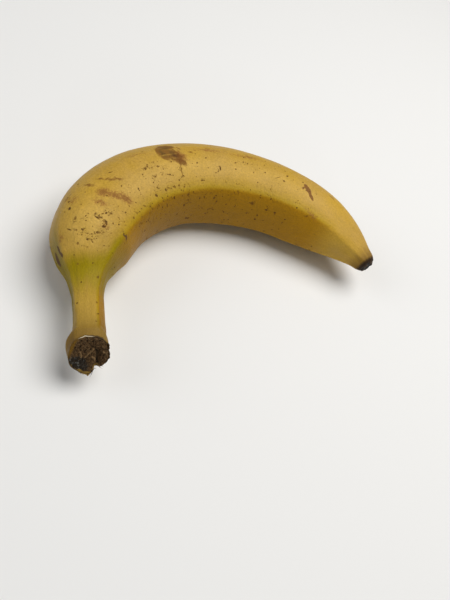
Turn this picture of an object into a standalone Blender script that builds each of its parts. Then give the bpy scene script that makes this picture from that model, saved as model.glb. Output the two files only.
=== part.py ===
"""One ripe banana lying on its side: a curved, five-ridged fruit with its neck, cut crown and blossom end.

Metres, +Z up. The hollow of the curve faces -Y, the two ends lie along X, and the origin is on the
surface under the middle of the fruit's box. Lengths below are in millimetres and angles in degrees.
"""
import bmesh
import bpy
import numpy as np

MM = 0.001

# The middle line: how far the fruit has turned at each distance from the crown's cut
LENGTH = 215.0
TURN = ((0, 0), (23, -3.5), (37, 0), (54.5, 16), (77.5, 43.5), (105, 70), (136.5, 94), (167, 114), (194, 134),
        (LENGTH, 149.5))

# The mean radius at each distance: flared crown, neck, shoulder, body, taper, blossom nub
RADIUS = ((0, 7.45), (4.2, 7.25), (9, 6.0), (16, 6.0), (24, 6.1), (32, 7.55), (41, 12.4), (52.5, 17.3),
          (66, 18.8), (86, 18.9), (111, 18.05), (140.5, 17.4), (170, 16.15), (184.5, 14.2), (196, 11.1),
          (204.5, 8.0), (210, 5.9), (213, 5.1), (LENGTH, 4.0))

# The five ridges: where the first one runs, how they twist, and how angular the section is
RIDGES = 5
FIRST_RIDGE = 3.0            # from the outer side of the curve towards the top
TWIST = ((0, -30), (21, -26), (42, -13), (73, -5), (170, -13), (LENGTH, -16))
ANGULAR = ((0, 0.3), (10, 0.55), (30, 0.6), (58, 0.45), (185, 0.45), (LENGTH, 0.6))
CORNER_SHARPNESS = 16

# One ridge leans from the top to the outer side where the neck widens, and is rounder along the body
LEAN = ((0, 0), (12, 4), (20, 12), (30, 24), (38, 28), (70, 25), (LENGTH, 12))
LEAN_AT, LEAN_WIDTH = 50.0, 42.0
ROUNDED = ((0, 0), (34, 0), (56, 0.9), (180, 0.9), (LENGTH, 0.2))

# Slow swellings of the body's skin: how high, how long, and where they rise and fall away
SWELLING = 0.17
SWELLING_LENGTH = 64.0
SWELLING_RISE = (16, 63)
SWELLING_FALL = (136, 194)

# The crown flares to the sides and below, while its top runs on straight from the neck
CROWN_DROP = 1.15
CROWN_REACH = 9.4
HEEL = 1.6                   # a heel of crown tissue on the outer side of the neck, beside the cut
HEEL_AT, HEEL_LENGTH = 5.2, 3.4
HEEL_FACES, HEEL_WIDTH = -5.0, 42.0

# The crown's cut: slanted, dished, with a cleft that parts a small lobe from a large one
CUT_SLANT = 30.0
CUT_FACES = 91.0             # direction round the neck that the slanted cut looks to
CUT_FADE = 13.6              # how far up the neck the slant reaches
CUT_DISH = 0.7
CLEFT_OFFSET = 0.45          # from the middle towards the inner side of the curve, in cut radii
CLEFT_TOP = 0.4              # where the cleft starts above the middle, in cut radii
CLEFT_DEPTH = 1.7
CLEFT_WIDTH = 0.16           # in cut radii
CLEFT_NOTCH = 0.14           # how deep the rim is notched where the cleft meets it, in cut radii
CLEFT_NOTCH_WIDTH = 13.0     # in degrees round the rim
CLEFT_REACH = 7.3            # how far the notch runs up the neck
SMALL_LOBE_DROP = 0.5        # how far the small lobe's face lies behind the large one's

# The blossom end: a low dome with a pit in its middle
NUB_DOME = 0.9
NUB_PIT = 0.5
NUB_PIT_WIDTH = 0.5          # in nub radii

# The fruit lies on the stretch of its side between these distances, pressed a little flat
REST_FROM, REST_TO = 64.0, 168.0
REST_SOFTENING = 5.2
FLATTENED = 0.4

# The mesh: its sides, its rows along the skin and over both end faces, and where the rows crowd
SIDES = 50
SKIN_ROWS = 78
CUT_ROWS = (0.0, 0.2, 0.4, 0.6, 0.78, 0.92)
NUB_ROWS = (0.93, 0.7, 0.38, 0.0)
CROWN_CROWDING, CROWN_CROWD_LENGTH = 2.2, 17.0
SHOULDER_CROWDING, SHOULDER_AT, SHOULDER_CROWD_LENGTH = 0.7, 44.0, 26.0
NUB_CROWDING, NUB_CROWD_LENGTH = 1.2, 31.0
WELD = 0.001                 # points closer than this become one
SHARP_ANGLE = 50.0           # edges that turn more than this are drawn sharp

# How finely curves are sampled
LINE_SAMPLES = 2051          # along the middle line
REST_SAMPLES = 411           # along the underside
TURN_SAMPLES = 360           # round the fruit

PEEL = dict(color=(0.62, 0.43, 0.10, 1.0), roughness=0.5)


def smooth(stations, at):
    """The monotone cubic curve through (distance, value) stations, read at each distance in at."""
    place, value = np.array(stations, float).T
    step = np.diff(place)
    slope = np.diff(value) / step
    tangent = np.concatenate([slope[:1], np.zeros(len(step) - 1), slope[-1:]])
    for i in range(1, len(step)):
        before, after = slope[i - 1], slope[i]
        if before * after > 0:
            near, far = 2 * step[i] + step[i - 1], step[i] + 2 * step[i - 1]
            tangent[i] = (near + far) / (near / before + far / after)
    i = np.clip(np.searchsorted(place, at, side="right") - 1, 0, len(step) - 1)
    t = (at - place[i]) / step[i]
    level = (1 + 2 * t) * (1 - t) ** 2 * value[i] + t * t * (3 - 2 * t) * value[i + 1]
    lean = t * (1 - t) ** 2 * tangent[i] + t * t * (t - 1) * tangent[i + 1]
    return level + lean * step[i]


def fall(x, start, end):
    """Falls smoothly from 1 where x is at start to 0 where it is at end."""
    t = np.clip((x - start) / (end - start), 0, 1)
    return 1 - t * t * (3 - 2 * t)


def bump(x, middle, width):
    """Rises smoothly to 1 where x is at the middle and falls away beyond the width on either side."""
    return np.exp(-(((x - middle) / width) ** 2))


def off_angle(angle, facing):
    """How far an angle in radians is from a direction in degrees, in degrees either way."""
    return np.degrees(np.angle(np.exp(1j * (angle - np.radians(facing)))))


def rounded_pentagon(angle):
    """Radius of a five-sided figure with rounded corners, one of them at angle 0. Its sides are 1 away."""
    sides = (np.arange(RIDGES) + 0.5) * 2 * np.pi / RIDGES
    lean = np.maximum(np.cos(angle[..., None] - sides), 0)
    return (lean**CORNER_SHARPNESS).sum(axis=-1) ** (-1 / CORNER_SHARPNESS)


def section(distance, angle):
    """Radius of the skin at a distance from the cut and an angle from the first ridge."""
    circle = np.linspace(0, 2 * np.pi, TURN_SAMPLES, endpoint=False)
    near = bump(off_angle(angle, LEAN_AT), 0, LEAN_WIDTH)
    pentagon = rounded_pentagon(angle + np.radians(smooth(LEAN, distance)) * near)
    pentagon = (pentagon - rounded_pentagon(circle).mean()) * (1 - smooth(ROUNDED, distance) * near)
    phase = 2 * np.pi * distance / SWELLING_LENGTH
    body = (1 - fall(distance, *SWELLING_RISE)) * fall(distance, *SWELLING_FALL)
    swelling = SWELLING * np.sin(phase + 2 * angle) * body
    return smooth(RADIUS, distance) * (1 + smooth(ANGULAR, distance) * pentagon) + swelling


def middle_line(distance):
    """Points of the middle line in the curve's plane, and the direction of the curve's outer side there."""
    fine = np.linspace(0, LENGTH, LINE_SAMPLES)
    heading = np.radians(90 - smooth(TURN, fine))
    step = fine[1] - fine[0]
    run = np.concatenate([[0], np.cumsum(np.cos(heading[1:]) + np.cos(heading[:-1]))]) * step / 2
    rise = np.concatenate([[0], np.cumsum(np.sin(heading[1:]) + np.sin(heading[:-1]))]) * step / 2
    level = np.arctan2(rise[-1], run[-1])
    heading = heading - level
    x = run * np.cos(level) + rise * np.sin(level)
    y = rise * np.cos(level) - run * np.sin(level)
    along = np.interp(distance, fine, heading)
    outer = np.stack([-np.sin(along), np.cos(along), 0 * along], axis=-1)
    return np.interp(distance, fine, x), np.interp(distance, fine, y), outer


def ring_angles(distance, turn):
    """Angles round the middle line, from its outer side towards the top."""
    return np.radians(FIRST_RIDGE + smooth(TWIST, distance)) + turn


def resting_height(distance):
    """Height of the middle line: level underside along the resting stretch, held beyond it."""
    fine = np.linspace(0, LENGTH, REST_SAMPLES)
    turn = np.linspace(0, 2 * np.pi, TURN_SAMPLES, endpoint=False)
    grid_distance, grid_turn = np.meshgrid(fine, turn, indexing="ij")
    low = section(grid_distance, grid_turn) * np.sin(ring_angles(grid_distance, grid_turn))
    depth = np.interp(np.clip(fine, REST_FROM, REST_TO), fine, -low.min(axis=1))
    step = fine[1] - fine[0]
    beyond = int(np.ceil(4 * REST_SOFTENING / step))
    weight = np.exp(-0.5 * (np.arange(-beyond, beyond + 1) * step / REST_SOFTENING) ** 2)
    depth = np.convolve(np.pad(depth, beyond, mode="edge"), weight / weight.sum(), mode="valid")
    return np.interp(distance, fine, depth) - FLATTENED


def cut_relief(angle, share):
    """How far the crown's cut face lies behind a flat cut: its dish, its cleft and the lower small lobe."""
    inward = -share * np.cos(angle) - CLEFT_OFFSET
    upward = share * np.sin(angle)
    cleft = bump(inward, 0, CLEFT_WIDTH) * fall(upward, 0, CLEFT_TOP)
    small_lobe = 1 - fall(inward, 0, CLEFT_WIDTH)
    return CUT_DISH * (1 - share**2) + CLEFT_DEPTH * cleft + SMALL_LOBE_DROP * small_lobe


def crown(radius, angle, distance):
    """The radius with the crown's heel and with the notch that the cleft makes in the neck's underside."""
    heel = HEEL * bump(off_angle(angle, HEEL_FACES), 0, HEEL_WIDTH) * bump(distance, HEEL_AT, HEEL_LENGTH)
    meets_rim = 180 + np.degrees(np.arccos(CLEFT_OFFSET))
    notch = CLEFT_NOTCH * bump(off_angle(angle, meets_rim), 0, CLEFT_NOTCH_WIDTH)
    notch = notch * fall(distance, 0, CLEFT_REACH)
    return (radius + heel) * (1 - notch)


def skin(distance, turn, share):
    """Points of the surface. Share is 1 on the skin and falls to 0 at the middle of an end face."""
    x, y, outer = middle_line(distance)
    angle = ring_angles(distance, turn)
    radius = crown(section(distance, turn), angle, distance)
    around = np.cos(angle)[..., None] * outer + np.sin(angle)[..., None] * np.array([0, 0, 1.0])
    along = np.stack([outer[..., 1], -outer[..., 0], 0 * x], axis=-1)
    height = resting_height(distance) - CROWN_DROP * fall(distance, 0, CROWN_REACH)
    middle = np.stack([x, y, height], axis=-1)
    slant = np.tan(np.radians(CUT_SLANT)) * radius * np.cos(angle - np.radians(CUT_FACES))
    cut = slant * fall(distance, 0, CUT_FADE) * share + cut_relief(angle, share) * fall(distance, 0, CUT_FADE)
    nub = NUB_DOME * (1 - share**2) - NUB_PIT * fall(share, 0, NUB_PIT_WIDTH)
    end = np.where(distance < LENGTH, cut, nub)
    points = middle + (radius * share)[..., None] * around + end[..., None] * along
    points[..., 2] = np.maximum(points[..., 2], 0)
    return points


def rows():
    """(distance, share) of each row of the mesh: over the cut face, along the skin, over the blossom end."""
    fine = np.linspace(0, LENGTH, LINE_SAMPLES)
    crowd = 1 + CROWN_CROWDING * fall(fine, 0, CROWN_CROWD_LENGTH)
    crowd = crowd + SHOULDER_CROWDING * fall(abs(fine - SHOULDER_AT), 0, SHOULDER_CROWD_LENGTH)
    crowd = crowd + NUB_CROWDING * fall(fine, LENGTH, LENGTH - NUB_CROWD_LENGTH)
    count = np.concatenate([[0], np.cumsum((crowd[1:] + crowd[:-1]) / 2)])
    along = np.interp(np.linspace(0, count[-1], SKIN_ROWS), count, fine)
    cut = [(0.0, share) for share in CUT_ROWS]
    nub = [(LENGTH, share) for share in NUB_ROWS]
    return np.array(cut + [(distance, 1.0) for distance in along] + nub)


def make_peel():
    material = bpy.data.materials.new("peel")
    material.use_nodes = True
    shader = material.node_tree.nodes["Principled BSDF"]
    shader.inputs["Base Color"].default_value = PEEL["color"]
    shader.inputs["Roughness"].default_value = PEEL["roughness"]
    shader.inputs["Metallic"].default_value = 0.0
    return material


def make_banana(collection):
    """A sheet rolled up into the fruit's skin, with both ends drawn to a point at their middles."""
    row = rows()
    mesh = bpy.data.meshes.new("banana")
    shape = bmesh.new()
    bmesh.ops.create_grid(shape, x_segments=len(row) - 1, y_segments=SIDES, size=1.0)
    sheet = np.array([vert.co[:2] for vert in shape.verts])
    index = np.rint((sheet[:, 0] + 1) / 2 * (len(row) - 1)).astype(int)
    turn = np.rint((sheet[:, 1] + 1) / 2 * SIDES) % SIDES * 2 * np.pi / SIDES
    points = skin(row[index, 0], turn, row[index, 1])
    low, high = points.min(axis=0), points.max(axis=0)
    points = points - [(low[0] + high[0]) / 2, (low[1] + high[1]) / 2, 0]
    for vert, point in zip(shape.verts, points * MM):
        vert.co = point
    bmesh.ops.remove_doubles(shape, verts=shape.verts, dist=WELD * MM)
    bmesh.ops.recalc_face_normals(shape, faces=shape.faces)
    shape.to_mesh(mesh)
    shape.free()
    mesh.shade_smooth()
    mesh.set_sharp_from_angle(angle=np.radians(SHARP_ANGLE))
    mesh.materials.append(make_peel())
    banana = bpy.data.objects.new("banana", mesh)
    collection.objects.link(banana)
    return banana


def main():
    for old in list(bpy.data.objects):
        bpy.data.objects.remove(old)
    collection = bpy.data.collections.new("banana_fruit")
    bpy.context.scene.collection.children.link(collection)
    make_banana(collection)


main()
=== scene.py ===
"""One ripe banana lying on its side: its speckled peel, its dried crown cut and its dry blossom end.

The form's formulas and stations are the ones that the solid was made from, read here on a finer mesh.
Lengths are in millimetres and angles in degrees, unless a line says otherwise.
"""

import bmesh
import bpy
import numpy as np
from mathutils import Matrix, Vector, noise


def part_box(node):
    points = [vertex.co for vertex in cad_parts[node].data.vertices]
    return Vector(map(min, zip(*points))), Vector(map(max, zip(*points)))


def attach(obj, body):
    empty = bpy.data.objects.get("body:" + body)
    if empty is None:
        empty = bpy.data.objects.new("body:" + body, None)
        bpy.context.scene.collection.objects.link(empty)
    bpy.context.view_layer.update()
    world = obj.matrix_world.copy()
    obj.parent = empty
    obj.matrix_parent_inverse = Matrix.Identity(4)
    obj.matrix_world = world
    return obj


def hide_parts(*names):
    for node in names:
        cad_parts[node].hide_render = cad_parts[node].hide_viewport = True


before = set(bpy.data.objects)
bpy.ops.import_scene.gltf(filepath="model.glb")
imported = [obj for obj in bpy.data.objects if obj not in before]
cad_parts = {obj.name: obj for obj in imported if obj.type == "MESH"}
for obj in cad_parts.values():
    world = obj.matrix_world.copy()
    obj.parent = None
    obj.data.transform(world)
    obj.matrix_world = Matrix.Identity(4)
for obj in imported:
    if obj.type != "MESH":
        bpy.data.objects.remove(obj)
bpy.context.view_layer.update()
fruit_low, fruit_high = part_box("banana")

MM = 0.001

# The middle line: how far the fruit has turned at each distance from the crown's cut
LENGTH = 215.0
TURN = ((0, 0), (23, -3.5), (37, 0), (54.5, 16), (77.5, 43.5), (105, 70), (136.5, 94), (167, 114),
        (194, 134), (LENGTH, 149.5))

# The mean radius at each distance: flared crown, neck, shoulder, body, taper, blossom nub
RADIUS = ((0, 7.45), (4.2, 7.25), (9, 6.0), (16, 6.0), (24, 6.1), (32, 7.55), (41, 12.4), (52.5, 17.3),
          (66, 18.8), (86, 18.9), (111, 18.05), (140.5, 17.4), (170, 16.15), (184.5, 14.2), (196, 11.1),
          (204.5, 8.0), (210, 5.9), (213, 5.1), (LENGTH, 4.0))

# The five ridges: where the first one runs, how they twist, and how angular the section is
RIDGES = 5
FIRST_RIDGE = 3.0
TWIST = ((0, -30), (21, -26), (42, -13), (73, -5), (170, -13), (LENGTH, -16))
ANGULAR = ((0, 0.3), (10, 0.55), (30, 0.6), (58, 0.45), (185, 0.45), (LENGTH, 0.6))
CORNER_SHARPNESS = 16

# One ridge leans from the top to the outer side where the neck widens, and is rounder along the body
LEAN = ((0, 0), (12, 4), (20, 12), (30, 24), (38, 28), (70, 25), (LENGTH, 12))
LEAN_AT, LEAN_WIDTH = 50.0, 42.0
ROUNDED = ((0, 0), (34, 0), (56, 0.9), (180, 0.9), (LENGTH, 0.2))

# Slow swellings of the body's skin: how high, how long, and where they rise and fall away
SWELLING = 0.17
SWELLING_LENGTH = 64.0
SWELLING_RISE = (16, 63)
SWELLING_FALL = (136, 194)

# The crown's drop, its heel beside the cut, and the cut's slant, dish, cleft and lower small lobe
CROWN_DROP = 1.15
CROWN_REACH = 9.4
HEEL = 1.6
HEEL_AT, HEEL_LENGTH = 5.2, 3.4
HEEL_FACES, HEEL_WIDTH = -5.0, 42.0
CUT_SLANT = 30.0
CUT_FACES = 91.0
CUT_FADE = 13.6
CUT_DISH = 0.7
CLEFT_OFFSET = 0.45
CLEFT_TOP = 0.4
CLEFT_DEPTH = 1.7
CLEFT_WIDTH = 0.16
CLEFT_NOTCH = 0.14
CLEFT_NOTCH_WIDTH = 13.0
CLEFT_REACH = 7.3
SMALL_LOBE_DROP = 0.5

# The blossom end, and the stretch that the fruit lies on
NUB_DOME = 0.9
NUB_PIT = 0.5
NUB_PIT_WIDTH = 0.5
REST_FROM, REST_TO = 64.0, 168.0
REST_SOFTENING = 5.2
FLATTENED = 0.4

# How finely curves are sampled
LINE_SAMPLES = 2051
REST_SAMPLES = 411
TURN_SAMPLES = 360
MERGED = 1e-7                # in metres: points closer than this are made one
LUMP_SHIFT = 31.7            # between the noise of one seed and the next

# The peel's mesh
PEEL_SIDES = 232
PEEL_ROWS = 400
LIP_ROWS = (0.0, 0.35, 0.7, 0.88, 0.94, 0.97, 0.985)
LIP_EDGE = (0.9, 0.98)
NUB_ROWS = (0.9, 0.75, 0.6, 0.3, 0.0)
NUB_SUNK, NUB_SUNK_EDGE = 0.5, (0.55, 0.9)
CROWN_CROWDING, CROWN_CROWD_LENGTH = 1.6, 12.0
NUB_CROWDING, NUB_CROWD_LENGTH = 0.8, 24.0
UNROLLED_RADIUS = 18.0       # of the even tube on which the peel's patterns are laid out

# The flat charts of the pieces: the margin round the peel's, the reach and the rim of the end faces'
CHART_MARGIN = 0.01
END_CHART_REACH, END_CHART_RIM = 0.245, 0.97

# The peel's fine relief: dents as (height, size, seed), ridges, and furrows along the neck and the tip
DENTS = ((0.16, 14.0, 0), (0.07, 5.0, 1), (0.03, 1.8, 2))
DENT_STRETCH = 0.6
CREST_HEIGHT, CREST_WIDTH = 0.14, 3.0
CREST_ALONG = (10, 45, 170, 200)
COLLAR_EASING, COLLAR_AT, COLLAR_WIDTH = 0.28, 9.6, 2.8
FURROWS, FURROW_DEPTH = 15, 0.03
NECK_FURROWED, TIP_SMOOTH = (30, 48), (188, 206)
LIP_DEPTH = 0.9              # how far the peel's edge stands round the sunken heart of the crown

# The torn edge of the peel round the cut: uneven all round, with spikes (facing, how far out, width)
RIM_RADIUS, RIM_DOWN = 7, 2.2
RIM_OUT = 0.2
RIM_UNEVEN, RIM_UNEVEN_LENGTH = 0.35, 2.4
RIM_FINE, RIM_FINE_LENGTH = 0.6, 0.9
RIM_SPIKES = ((153, 0.8, 6), (163, 0.5, 4), (178, 0.5, 6), (188, 0.45, 2.5), (252, 0.5, 4), (266, 0.7, 3))

# The dried cut face's mesh, which reaches to just inside the peel's edge
CUT_SIDES = 260
CUT_FRONT_ROWS = 104
CUT_EDGE = 0.97
CUT_SUNK = 0.12
CUT_BACK = ((CUT_EDGE, 1.3), (0.85, 2.0), (0.4, 2.2), (0.0, 2.2))
CUT_RADIUS = 7.5
CUT_SETTLES = 0.88           # towards the edge its lumps grow lower from here on

# The cut face's features, in radii inward and up from its middle
GROOVE = ((0.36, 0.10), (0.45, -0.29), (0.51, -0.61), (0.56, -0.81))
CREASE = ((0.02, 0.16), (0.16, 0.35), (0.31, 0.30), (0.36, 0.10))
TISSUE_RIDGES = (
    ((-0.12, -0.13), (-0.05, -0.04), (0.03, 0.09), (0.10, 0.15), (0.21, 0.26)),
    ((0.31, 0.13), (0.36, -0.10), (0.40, -0.27), (0.39, -0.38), (0.45, -0.58)),
    ((0.19, -0.14), (0.29, -0.18), (0.36, -0.33), (0.38, -0.48)),
    ((-0.40, 0.12), (-0.35, -0.07), (-0.34, -0.22), (-0.43, -0.27)),
    ((0.71, 0.14), (0.83, 0.10), (0.89, 0.06)),
)
GROOVE_WIDTH, CREASE_WIDTH, TISSUE_WIDTH = 0.06, 0.045, 0.05
SWAY, SWAY_LENGTH = 0.035, 1.3
SAP_MIDDLE, SAP_SIZE, SAP_TILT = (-0.48, -0.54), (0.60, 0.47), -20.0
SAP_EDGE = (0.6, 1.25)
RIND_SIDE = (22, 34)
STRIP_SIDES = ((272, 35), (250, 14))

# Its relief in millimetres: torn strands that fan out from the cleft, lumps, and the sap's blisters
FAN_FROM = (0.3, -0.1)
STRAND_HEIGHT = 0.34
TISSUE_LUMPS = ((0.14, 1.5, 25), (0.26, 0.6, 26))
BLISTERS = ((0.5, 1.7, 27), (0.4, 0.75, 28), (0.14, 0.35, 29))
BLISTERS_RISE = 0.25
TISSUE_RISE, GROOVE_DEPTH = 0.5, 0.7

# Fibres torn loose round the cut (facing, spread either way, how many, length and thickness)
FIBRES = (
    (250, 24, 18, 1.5, 0.2), (225, 8, 7, 1.4, 0.16), (262, 16, 7, 1.5, 0.5), (238, 8, 3, 1.3, 0.4),
    (286, 9, 5, 1.2, 0.5), (292, 30, 10, 1.2, 0.18), (150, 30, 7, 1.3, 0.16), (20, 50, 6, 1.1, 0.12),
    (90, 40, 6, 0.9, 0.12),
)
FIBRE_SEED = 3
STRAND_POINTS = 8

# The dry scar at the blossom end
NUB_SIDES = 96
NUB_FRONT_ROWS = 26
NUB_EDGE = 0.93
NUB_FACE_SUNK = 0.1
NUB_BACK = ((NUB_EDGE, 0.8), (0.6, 1.2), (0.0, 1.2))
NUB_RADIUS = 4.0
NUB_RIM, NUB_RIM_AT, NUB_RIM_WIDTH = 0.75, 0.72, 0.16
NUB_HEART, NUB_HEART_WIDTH = 0.35, 0.16
NUB_LUMPS = ((0.22, 0.9, 41), (0.1, 0.4, 42))

# Marks placed one by one (distance, turn, half length, half width, and the tilt from the fruit's length)
BRUISES = (
    (99.2, 82, 5, 2.7, 82), (103.6, 88, 6.4, 2.8, 70), (106.2, 101, 2.8, 1.4, 62),
    (101.6, 71, 4.2, 2.9, 0), (102, 90, 3.4, 1.6, 76), (70.6, 82, 1.9, 1, 60), (72.9, 88, 2.1, 0.65, 58),
    (69, 73, 1.5, 0.6, 62), (64.4, 66, 2, 0.7, 80), (112, 86, 1, 0.7, 40), (80, 300, 6, 1.6, 20),
    (128, 255, 7, 1.3, 170), (152, 330, 5, 1.8, 60), (60, 345, 3, 1, 120), (176, 290, 4, 1, 30),
    (118, 12, 5.5, 0.9, 12), (146, 38, 3, 0.8, 140), (92, 30, 2.6, 0.6, 70),
)
SCARS = (
    (170.2, 101.5, 3.1, 1.4, 44), (172.8, 110.5, 3.6, 0.9, 44), (168, 104.5, 1.1, 0.55, 100),
    (182, 79.5, 1.7, 0.5, 10), (107.5, 76.5, 1.3, 0.5, 60), (50, 148, 1.7, 0.55, 126),
    (49.7, 143.5, 1.2, 0.4, 96), (41.6, 34, 2.1, 0.8, 150), (39.6, 40, 1.2, 0.9, 130),
    (40.6, 12.5, 2.9, 1.25, 174),
)
RUBS = (
    (120, 80, 9, 1.2, 4), (139, 81, 8, 1.5, 176), (88, 70, 4, 0.9, 14), (67.6, 114.5, 4.8, 2.6, 86),
    (65.2, 103, 4.2, 2.7, 80), (63.6, 90, 3.8, 2.8, 80), (58.8, 94, 3.6, 1.9, 82),
    (118.5, 79.5, 3.8, 1.3, 8), (90, 72, 3.8, 0.5, 18), (57, 56, 3, 1.4, 60), (58, 45, 2.6, 1.2, 80),
    (106, 93, 4.2, 3.4, 80), (44.4, 46, 2.4, 1.5, 70), (178, 142, 5, 1.6, 15), (49.6, 113, 2.4, 1.8, 60),
    (125, 300, 12, 3, 4), (70, 265, 6, 3, 30), (165, 20, 9, 2.2, 170), (100, 340, 8, 2.6, 10),
)
SPECKS = (
    (51.2, 111, 0.6), (48.9, 110.4, 0.5), (50.2, 113.4, 0.35), (55, 106, 0.4), (56, 112, 0.45),
    (54, 102, 0.3), (53, 94, 0.35), (53, 128, 0.35), (56, 132, 0.3), (62, 138, 0.5), (66, 137, 0.35),
    (66, 153, 0.6), (63, 154, 0.35), (69, 172, 0.35), (46, 106, 0.5), (43, 93, 0.4), (43, 100, 0.35),
    (41.6, 77, 0.5), (46, 74, 0.35), (45, 92, 0.25), (45, 98, 0.25), (46, 84, 0.25), (50, 70, 0.5),
    (54, 57, 0.6), (57, 51, 0.4), (59, 45, 0.3), (87, 97, 0.65), (89, 93, 0.3), (90, 100, 0.35),
    (93, 101, 0.5), (95, 107, 0.3), (89, 113, 0.4), (84, 110, 0.3), (84, 103, 0.3), (97, 117, 0.3),
    (98.5, 119, 0.3), (101, 127, 0.35), (100, 134, 0.5), (97, 135, 0.4), (103, 137, 0.4),
    (91, 134, 0.55), (84, 135, 0.65), (114, 132, 0.4), (105, 148, 0.6), (101, 148, 0.35), (95, 147, 0.5),
    (113, 157, 0.4), (122, 158, 0.55), (124, 164, 0.4), (103, 164, 0.65), (105, 162, 0.35),
    (90, 156, 0.4), (86, 153, 0.35), (74, 138, 0.4), (77, 142, 0.35), (109, 198, 0.5), (99, 178, 0.3),
    (89, 168, 0.35), (120, 180, 0.35), (116, 176, 0.3), (130, 183, 0.35), (133, 186, 0.3),
    (70, 172, 0.4), (95, 202, 0.4), (135, 200, 0.4), (133, 100, 0.35), (139, 97, 0.3), (145, 100, 0.25),
    (148, 105, 0.3), (159, 96, 0.5), (158, 109, 0.45), (167, 93, 0.3), (135, 145, 0.4), (148, 144, 0.3),
    (154, 145, 0.4), (145, 159, 0.8), (146, 170, 0.3), (154, 164, 0.5), (159, 164, 0.45),
    (150, 188, 0.55), (144, 178, 0.45), (169, 143, 0.4), (176, 148, 0.45), (166, 169, 0.35),
    (175, 101, 0.3), (39, 184, 0.45), (35, 74, 0.35), (28, 82, 0.3), (30, 136, 0.4), (19, 138, 0.4),
    (14, 141, 0.3), (10, 134, 0.3),
)
SCRATCHES = (
    (104, 115, 3.2, 0.24, 98), (125, 113, 1.2, 0.42, 90), (74, 75, 1, 0.2, 30),
    (154.5, 107, 1.6, 0.16, 140), (46.5, 62, 1.2, 0.22, 110), (51.5, 98, 1.4, 0.3, 110),
    (52.2, 102.5, 0.9, 0.26, 92),
)

# Small specks: round each one above, in patches (distance, turn, reach, how many), and on the far side
SMALLEST_SPECK, SATELLITE_LARGEST, PATCH_LARGEST = 0.11, 0.28, 0.34
SATELLITES, SATELLITE_REACH = 1.0, 2.4
PATCHES = (
    (90, 105, 5, 8), (97, 112, 4, 5), (92, 136, 6, 14), (104, 122, 5, 6), (80, 146, 9, 52),
    (100, 156, 11, 78), (118, 160, 10, 54), (135, 164, 11, 44), (152, 168, 11, 38), (64, 148, 8, 26),
    (52, 128, 5, 16), (47, 100, 5, 5), (54, 112, 4, 5), (60, 62, 7, 6), (72, 96, 8, 6), (66, 110, 6, 14),
    (40, 140, 6, 10), (112, 96, 16, 14), (140, 108, 18, 18), (168, 120, 12, 12), (22, 120, 8, 6),
    (80, 118, 9, 12),
)
FAR_SPECKS = 420
FAR_STRETCH, FAR_SIDE = (34, 192), (188, 364)
SPECK_SEED = 7
SPECK_REACH = 0.8            # how far outside a speck its own place is still kept
NO_SPECK = (9.0, 9.0, -8.0)
NO_MARK = -3.0

# How a mark's outline wanders: (size, seed) of its coarse and fine lumps, and the share of each
WANDER = ((1.6, 11, 0.7), (0.7, 13, 0.3))

# Where the peel is tinted: (how strongly, round which side, the spread across, the spread along)
ALL_ALONG = (-2, -1, 998, 999)
# Painted shade in olive, partly the peel's own olive tone: the neck's outer facet, turned from the light,
# and the inner face by the shoulder
OLIVE_SHADE_PARTS = ((1, 12, (-80, -30, 18, 34), (6, 20, 41, 56)), (0.9, 180, (0, 52), (18, 30, 34, 58)))
# Painted highlights: paler yellow on the shoulder's front and along the top face, where the light's sheen
# falls
PALE_HIGHLIGHT_PARTS = ((1, 92, (0, 30), (48, 11)), (0.7, 111, (0, 17), (55, 80, 165, 190)))
# Painted shade: the inner, concave face in dark ochre, and more faintly the band below the ridge above it
HOLLOW_SHADE_PARTS = (
    (1, 180, (-47, -33, 34, 42), ALL_ALONG), (0.25, 180, (-58, -38, 38, 58), (36, 56, 998, 999)),
)
# The stretch along the fruit that this painted shade covers
HOLLOW_SHADE_LENGTH = (3, 10, 180, 200)
GREEN_END, GREEN_SLANT = (33, 43), (0.09, 112, 40)
GREEN_THINS = ((0.72, 21, 35), (0.28, 10, 26))
NOT_GREEN = ((0.85, 5, 28), (0.8, 180, 40))
GREEN_RIDGE = ((0.75, 143, (0, 9), (-2, -1, 44, 55)),)
# The lip's cream top edge, partly the peel's pale cut edge and partly a painted highlight, and its torn
# edge
LIP_BAND, LIP_SHARE = (0.1, 0.32), 0.95
# The last of these sides is the flank's, where the rust near the cut is deepened as painted shade
CREAM_HIGHLIGHT_SIDE, TORN_SIDE, SHADED_FLANK_SIDE = (78, 22), (262, 34), (22, 46)


def smooth(stations, at):
    """The monotone cubic curve through (distance, value) stations, read at each distance in at."""
    place, value = np.array(stations, float).T
    step = np.diff(place)
    slope = np.diff(value) / step
    tangent = np.concatenate([slope[:1], np.zeros(len(step) - 1), slope[-1:]])
    for i in range(1, len(step)):
        before, after = slope[i - 1], slope[i]
        if before * after > 0:
            near, far = 2 * step[i] + step[i - 1], step[i] + 2 * step[i - 1]
            tangent[i] = (near + far) / (near / before + far / after)
    i = np.clip(np.searchsorted(place, at, side="right") - 1, 0, len(step) - 1)
    t = (at - place[i]) / step[i]
    level = (1 + 2 * t) * (1 - t) ** 2 * value[i] + t * t * (3 - 2 * t) * value[i + 1]
    lean = t * (1 - t) ** 2 * tangent[i] + t * t * (t - 1) * tangent[i + 1]
    return level + lean * step[i]


def fall(x, start, end):
    """Falls smoothly from 1 where x is at start to 0 where it is at end."""
    t = np.clip((x - start) / (end - start), 0, 1)
    return 1 - t * t * (3 - 2 * t)


def bump(x, middle, width):
    return np.exp(-(((x - middle) / width) ** 2))


def spread(x, *shape):
    """A round spread, given by its middle and width, or a flat one, by where it rises and falls."""
    if len(shape) == 2:
        return bump(x, *shape)
    return (1 - fall(x, *shape[:2])) * fall(x, *shape[2:])


def added_up(values):
    """The running sum of values at even steps, each step taken as the mean of its two ends."""
    return np.concatenate([[0], np.cumsum(values[1:] + values[:-1])]) / 2


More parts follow.
